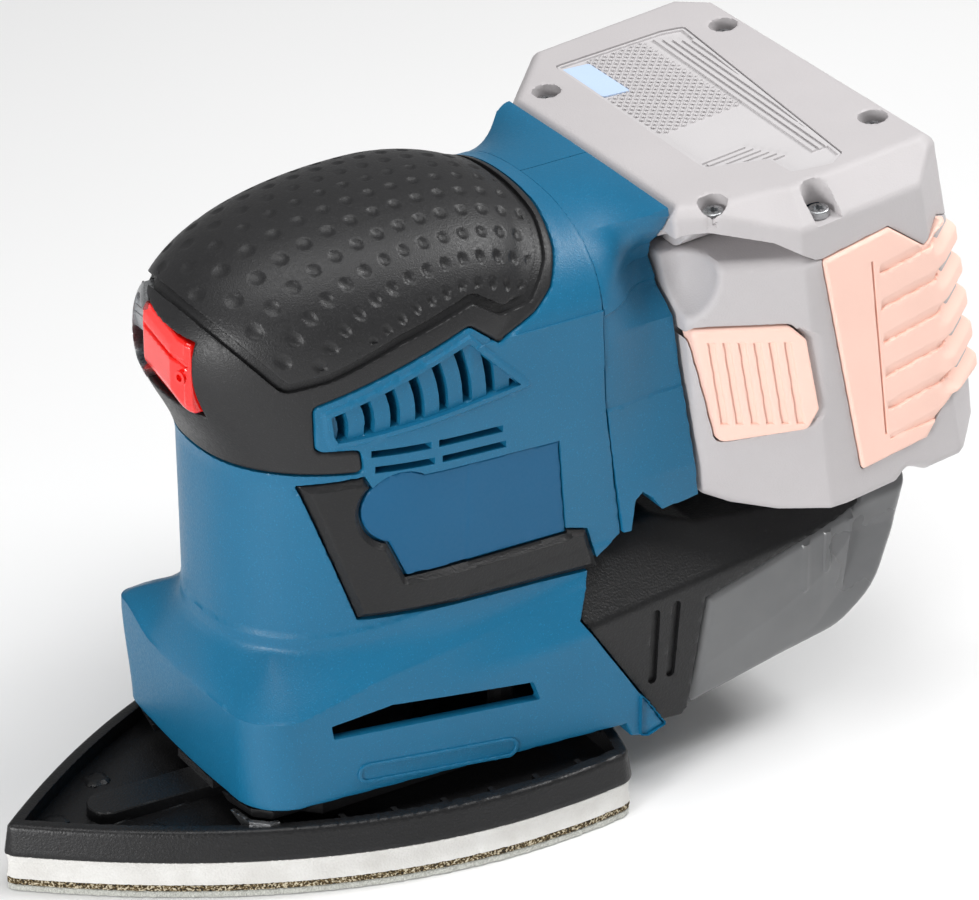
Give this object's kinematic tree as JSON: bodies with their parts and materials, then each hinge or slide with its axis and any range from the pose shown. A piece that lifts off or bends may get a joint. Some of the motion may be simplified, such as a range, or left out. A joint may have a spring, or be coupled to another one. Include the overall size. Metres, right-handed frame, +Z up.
{
  "type": "detail sander",
  "caption": "Cordless palm sander with an iron-shaped orbiting plate, front rocker switch, rear dust box and slide-in battery pack.",
  "frame": {"origin": "on the sanding face, where the motor's axis meets it", "axes": "+X towards the plate's tip, +Y to the tool's left, +Z up along the motor's axis"},
  "size_m": [0.2496, 0.112, 0.167],
  "materials": {
    "housing_blue": "satin, fine moulded grain",
    "soft_black": "matt soft-touch overmould",
    "hard_black": "grained glass-filled plastic",
    "switch_red": "glossy",
    "foam": "closed-cell foam, cut edge",
    "hooks": "hook pile, speckled",
    "sheet": "loop fleece with grit face",
    "steel": "bright",
    "contact": "bright",
    "board": "solder mask",
    "smoke": "smoked, slightly see-through",
    "filter_paper": "pleated",
    "pack_grey": "fine grain",
    "pack_salmon": "matt soft plastic",
    "cell_sleeve": "sleeved cells"
  },
  "bodies": {
    "tool": {"motor_housing": "housing_blue", "grip_cover": "soft_black", "side_trim_left": "soft_black", "side_trim_right": "soft_black", "nameplate_left": "housing_blue", "nameplate_right": "housing_blue", "rear_housing_left": "housing_blue", "rear_housing_right": "housing_blue", "housing_screw_1": "steel", "housing_screw_2": "steel", "circuit_board": "board", "terminal_block": "hard_black", "contact_blade_1": "contact", "contact_blade_2": "contact", "orbit_post_1": "soft_black", "orbit_post_2": "soft_black", "orbit_post_3": "soft_black", "orbit_post_4": "soft_black", "dust_seal": "soft_black", "dust_duct": "hard_black", "motor_can": "steel", "lower_bearing": "steel", "upper_bearing": "steel", "bearing_bracket": "hard_black", "switch_module": "hard_black"},
    "rotor": {"motor_shaft": "steel", "fan_counterweight": "steel"},
    "pad": {"sanding_sheet": "sheet", "hook_layer": "hooks", "foam_pad": "foam", "sanding_plate": "hard_black", "pad_carrier": "hard_black", "pad_bearing": "steel", "plate_screw_1": "steel", "plate_screw_2": "steel", "front_clip": "steel"},
    "power_switch": {"switch_rocker": "switch_red"},
    "battery": {"battery_case": "pack_grey", "battery_cover": "pack_grey", "battery_bumper": "pack_salmon", "battery_cell_1": "cell_sleeve", "battery_cell_2": "cell_sleeve", "battery_cell_3": "cell_sleeve", "battery_cell_4": "cell_sleeve", "battery_cell_5": "cell_sleeve", "battery_cell_6": "cell_sleeve", "battery_cell_7": "cell_sleeve", "battery_cell_8": "cell_sleeve", "battery_cell_9": "cell_sleeve", "battery_cell_10": "cell_sleeve"},
    "battery_button": {"release_button": "pack_salmon"},
    "dust_box": {"dust_box_frame": "hard_black", "microfilter": "filter_paper"},
    "dust_cup": {"dust_container": "smoke"}
  },
  "joints": [
    {"name": "rotor_spin", "type": "hinge", "parent": "tool", "child": "rotor", "pos_m": [0, 0, 0.06], "axis": [0, 0, 1], "continuous": true},
    {"name": "pad_orbit", "type": "hinge", "parent": "rotor", "child": "pad", "pos_m": [0.0008, 0, 0.025], "axis": [0, 0, 1], "continuous": true},
    {"name": "power_switch_rock", "type": "hinge", "parent": "tool", "child": "power_switch", "pos_m": [0.0395, 0.0052, 0.137], "axis": [0, 0, -1], "range_deg": [0, 14]},
    {"name": "battery_slide", "type": "slide", "parent": "tool", "child": "battery", "axis": [0, 1, 0], "range_m": [0, 0.095]},
    {"name": "battery_release_press", "type": "slide", "parent": "battery", "child": "battery_button", "axis": [0, -1, 0], "range_m": [0, 0.0025], "stiffness_N_per_m": 700},
    {"name": "dust_box_slide", "type": "slide", "parent": "tool", "child": "dust_box", "axis": [-1, 0, 0], "range_m": [0, 0.06]},
    {"name": "dust_container_slide", "type": "slide", "parent": "dust_box", "child": "dust_cup", "axis": [-1, 0, 0], "range_m": [0, 0.03]}
  ],
  "couplings": [
    {"joint": "pad_orbit", "follows": "rotor_spin", "ratio": -1}
  ]
}
